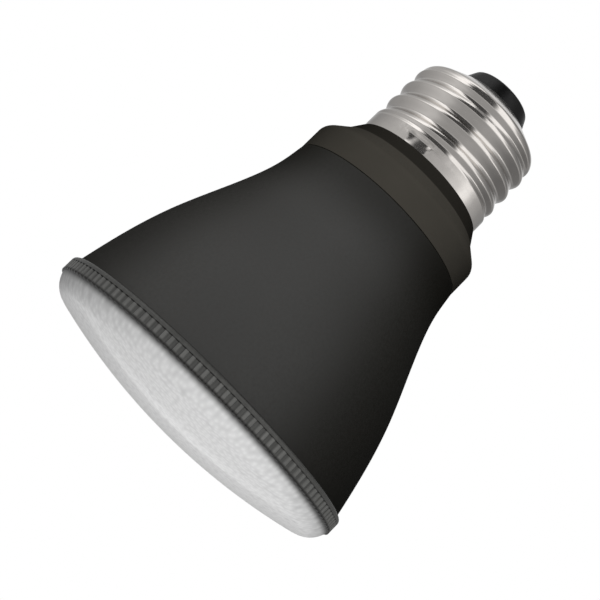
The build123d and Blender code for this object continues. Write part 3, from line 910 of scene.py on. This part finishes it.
# Even light with one soft highlight, for the plain skirt.
SKIRT_LIGHT = [
    (-140, 0.4), (-100, 0.65), (-80, 0.75), (-40, 0.75), (-20, 0.65), (0, 0.75), (20, 0.85), (50, 1.2),
    (60, 1.6), (70, 1.6), (80, 1.0), (90, 0.7), (120, 0.45), (150, 0.3),
]
LID_LIGHT = [(-100, 0.6), (0, 0.4), (100, 0.4)]
# Bands of the screen, which only metal, black gloss and the lens reflect: name, low and high elevation,
# brightness behind the lamp, and stops. The arc screen shows behind the lamp as a narrow arc in the lens.
SCREENS = [
    ("low_screen", (-45, -26), 0.8, GREY),
    ("arc_screen", (-26, -21), 1.8, GREY),
    ("middle_screen", (-21, 11), 0.1, GREY),
    ("skirt_screen", (11, 25), 0.6, SKIRT_LIGHT),
    ("high_screen", (25, 52), 0.9, PANELS),
    ("top_screen", (52, 80), 0.9, WIDE_PANELS),
    ("lid_screen", (80, 88), 0.5, LID_LIGHT),
]
# Brightness that a screen's ramp gives as white, and the radius of the screen in metres.
SCREEN_PEAK = 2.0
SCREEN_DISTANCE = 0.34
SCREEN_STEPS = 72
# Nearest and farthest distance that the camera sees, in metres.
CLIP_RANGE = (10 * MM, 10.0)


def direction(azimuth, elevation):
    """Unit vector from the aim; azimuth 0 is towards the camera's side and grows to its right."""
    a, e = radians(azimuth), radians(elevation)
    return Vector((sin(a) * cos(e), -cos(a) * cos(e), sin(e)))


class LAMP_OT_stage(Operator):
    """Floor, light and camera"""

    bl_idname = "lamp.stage"
    bl_label = "Stage"

    def execute(self, context):
        stage = context.scene.lamp.stage
        context.scene.view_settings.view_transform = "Standard"
        aim = Vector(stage.aim)
        self.world(context.scene, stage)
        self.floor(context.scene, stage)
        for name, azimuth, elevation, distance, width, height, power, in_gloss, linked, state in LAMPS:
            light = bpy.data.lights.new(name, "AREA")
            light.shape = "ELLIPSE"
            light.size, light.size_y = width, height
            light.energy = power
            toward = direction(azimuth, elevation)
            lamp = bpy.data.objects.new(name, light)
            lamp.location = aim + toward * distance
            lamp.rotation_mode = "QUATERNION"
            lamp.rotation_quaternion = toward.to_track_quat("Z", "Y")
            lamp.visible_camera = False
            lamp.visible_glossy = in_gloss
            context.scene.collection.objects.link(lamp)
            self.link_light(lamp, linked, state)
        for name, elevations, behind, stops in SCREENS:
            self.screen(context.scene, aim, name, elevations, [(-180, behind), *stops, (180, behind)])
        self.camera(context.scene, stage, aim)
        return {"FINISHED"}

    @staticmethod
    def link_light(source, names, state):
        """Has a light shine only on some pieces, or on all but them."""
        receivers = bpy.data.collections.new(source.name + "_receivers")
        for name in names:
            receivers.objects.link(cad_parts.get(name) or bpy.data.objects[name])
        for entry in receivers.collection_objects:
            entry.light_linking.link_state = state
        source.light_linking.receiver_collection = receivers

    @staticmethod
    def screen(scene, aim, name, elevations, stops):
        """Band of an upright round screen, seen in reflections only, whose glow changes with the azimuth."""
        material = bpy.data.materials.new(name)
        material.use_nodes = True
        tree = material.node_tree
        tree.nodes.clear()
        turned = add_node(tree, "ShaderNodeMapping", {"Vector": place_in(tree), "Rotation": (0, 0, pi / 2)})
        round_axis = add_node(
            tree, "ShaderNodeTexGradient", {"Vector": turned.outputs["Vector"]}, gradient_type="RADIAL"
        )
        ramp = add_node(tree, "ShaderNodeValToRGB", {"Fac": round_axis.outputs["Fac"]})
        set_stops(ramp, [(azimuth / 360 + 0.5, (level / SCREEN_PEAK,) * 3) for azimuth, level in stops])
        glow = add_node(
            tree, "ShaderNodeEmission", {"Color": ramp.outputs["Color"], "Strength": SCREEN_PEAK}
        )
        add_node(tree, "ShaderNodeOutputMaterial", {"Surface": glow.outputs["Emission"]})
        material.cycles.emission_sampling = "NONE"
        mesh = bmesh.new()
        heights = [aim.z + SCREEN_DISTANCE * tan(radians(elevation)) for elevation in elevations]
        mesh.edges.new([mesh.verts.new((SCREEN_DISTANCE, 0, height)) for height in heights])
        spin(mesh, 2 * pi, SCREEN_STEPS, use_merge=True)
        data = bpy.data.meshes.new(name)
        mesh.to_mesh(data)
        mesh.free()
        data.materials.append(material)
        screen = bpy.data.objects.new(name, data)
        screen.visible_camera = False
        screen.visible_diffuse = False
        screen.visible_transmission = False
        screen.visible_shadow = False
        scene.collection.objects.link(screen)
        LAMP_OT_stage.link_light(screen, METAL + LENS, "INCLUDE")

    @staticmethod
    def world(scene, stage):
        """Dim room that is white to the camera and in reflections."""
        world = bpy.data.worlds.new("studio")
        world.use_nodes = True
        tree = world.node_tree
        tree.nodes.clear()
        room = add_node(tree, "ShaderNodeBackground", {"Color": (1, 1, 1, 1), "Strength": stage.ambient})
        white = add_node(tree, "ShaderNodeBackground", {"Color": (1, 1, 1, 1), "Strength": 1.0})
        seen = LAMP_OT_stage.seen(tree, 1.0)
        mix = add_node(tree, "ShaderNodeMixShader", {0: seen, 1: room.outputs[0], 2: white.outputs[0]})
        add_node(tree, "ShaderNodeOutputWorld", {"Surface": mix.outputs[0]})
        scene.world = world

    @staticmethod
    def seen(tree, share):
        """Socket with a share for rays of the camera, reflections and clear bodies, and 0 for other rays."""
        path = add_node(tree, "ShaderNodeLightPath")
        straight = add_node(
            tree,
            "ShaderNodeMath",
            {0: path.outputs["Is Camera Ray"], 1: path.outputs["Is Glossy Ray"]},
            operation="MAXIMUM",
        )
        either = add_node(
            tree,
            "ShaderNodeMath",
            {0: straight.outputs[0], 1: path.outputs["Is Transmission Ray"]},
            operation="MAXIMUM",
        )
        shared = add_node(tree, "ShaderNodeMath", {0: either.outputs[0], 1: share}, operation="MULTIPLY")
        return shared.outputs[0]

    @staticmethod
    def floor(scene, stage):
        """Matt pale floor well below the lamp, made whiter where it is seen without giving more light."""
        mesh = bmesh.new()
        bmesh.ops.create_grid(mesh, x_segments=1, y_segments=1, size=stage.floor_half)
        bmesh.ops.translate(mesh, vec=(0, 0, stage.floor_z), verts=mesh.verts[:])
        data = bpy.data.meshes.new("floor")
        mesh.to_mesh(data)
        mesh.free()
        material = grained(
            "matt_studio_floor",
            stage.floor_tint,
            grain=2 * MM,
            spread=0.01,
            depth=0.01 * MM,
            rough=(0.8, 0.9),
            blotch=80 * MM,
            Specular_IOR_Level=0.1,
        )
        tree = material.node_tree
        shown = find_node(tree, "OUTPUT_MATERIAL").inputs["Surface"]
        matt = shown.links[0].from_socket
        white = add_node(tree, "ShaderNodeEmission", {"Color": (1, 1, 1, 1), "Strength": 1.0})
        seen = LAMP_OT_stage.seen(tree, stage.floor_white)
        mix = add_node(tree, "ShaderNodeMixShader", {0: seen, 1: matt, 2: white.outputs[0]})
        tree.links.new(mix.outputs[0], shown)
        material.cycles.emission_sampling = "NONE"
        data.materials.append(material)
        floor = bpy.data.objects.new("floor", data)
        scene.collection.objects.link(floor)

    @staticmethod
    def camera(scene, stage, aim):
        """Camera below the lamp, rolled so that the lamp lies across the picture."""
        camera = bpy.data.objects.new("camera", bpy.data.cameras.new("camera"))
        camera.data.lens = stage.focal_mm
        camera.data.sensor_width = SENSOR_MM
        back = Vector((0, -cos(stage.elevation), sin(stage.elevation)))
        camera.location = aim + back * stage.distance
        camera.rotation_mode = "QUATERNION"
        camera.rotation_quaternion = back.to_track_quat("Z", "Y") @ Quaternion((0, 0, 1), stage.roll)
        camera.data.clip_start, camera.data.clip_end = CLIP_RANGE
        scene.collection.objects.link(camera)
        scene.camera = camera


PIECES = (
    LAMP_OT_lens,
    LAMP_OT_housing,
    LAMP_OT_screw_shell,
    LAMP_OT_base,
    LAMP_OT_light_engine,
    LAMP_OT_driver,
    LAMP_OT_stage,
)


class LAMP_PT_panel(Panel):
    """Lists the lamp's pieces in the sidebar"""

    bl_idname = "LAMP_PT_panel"
    bl_label = "Reflector lamp"
    bl_space_type = "VIEW_3D"
    bl_region_type = "UI"
    bl_category = "Lamp"

    def draw(self, context):
        for piece in PIECES:
            self.layout.operator(piece.bl_idname)


GROUPS = (HousingSizes, LensSizes, ShellSizes, FinishColours, StageSettings, LampSettings)
CLASSES = GROUPS + PIECES + (LAMP_PT_panel,)


def register():
    for cls in CLASSES:
        bpy.utils.register_class(cls)
    bpy.types.Scene.lamp = PointerProperty(type=LampSettings)


def unregister():
    del bpy.types.Scene.lamp
    for cls in reversed(CLASSES):
        bpy.utils.unregister_class(cls)


def main():
    register()
    bpy.ops.lamp.lens()
    bpy.ops.lamp.housing()
    bpy.ops.lamp.screw_shell()
    bpy.ops.lamp.base()
    bpy.ops.lamp.light_engine()
    bpy.ops.lamp.driver()
    bpy.ops.lamp.stage()


if __name__ == "__main__":
    main()
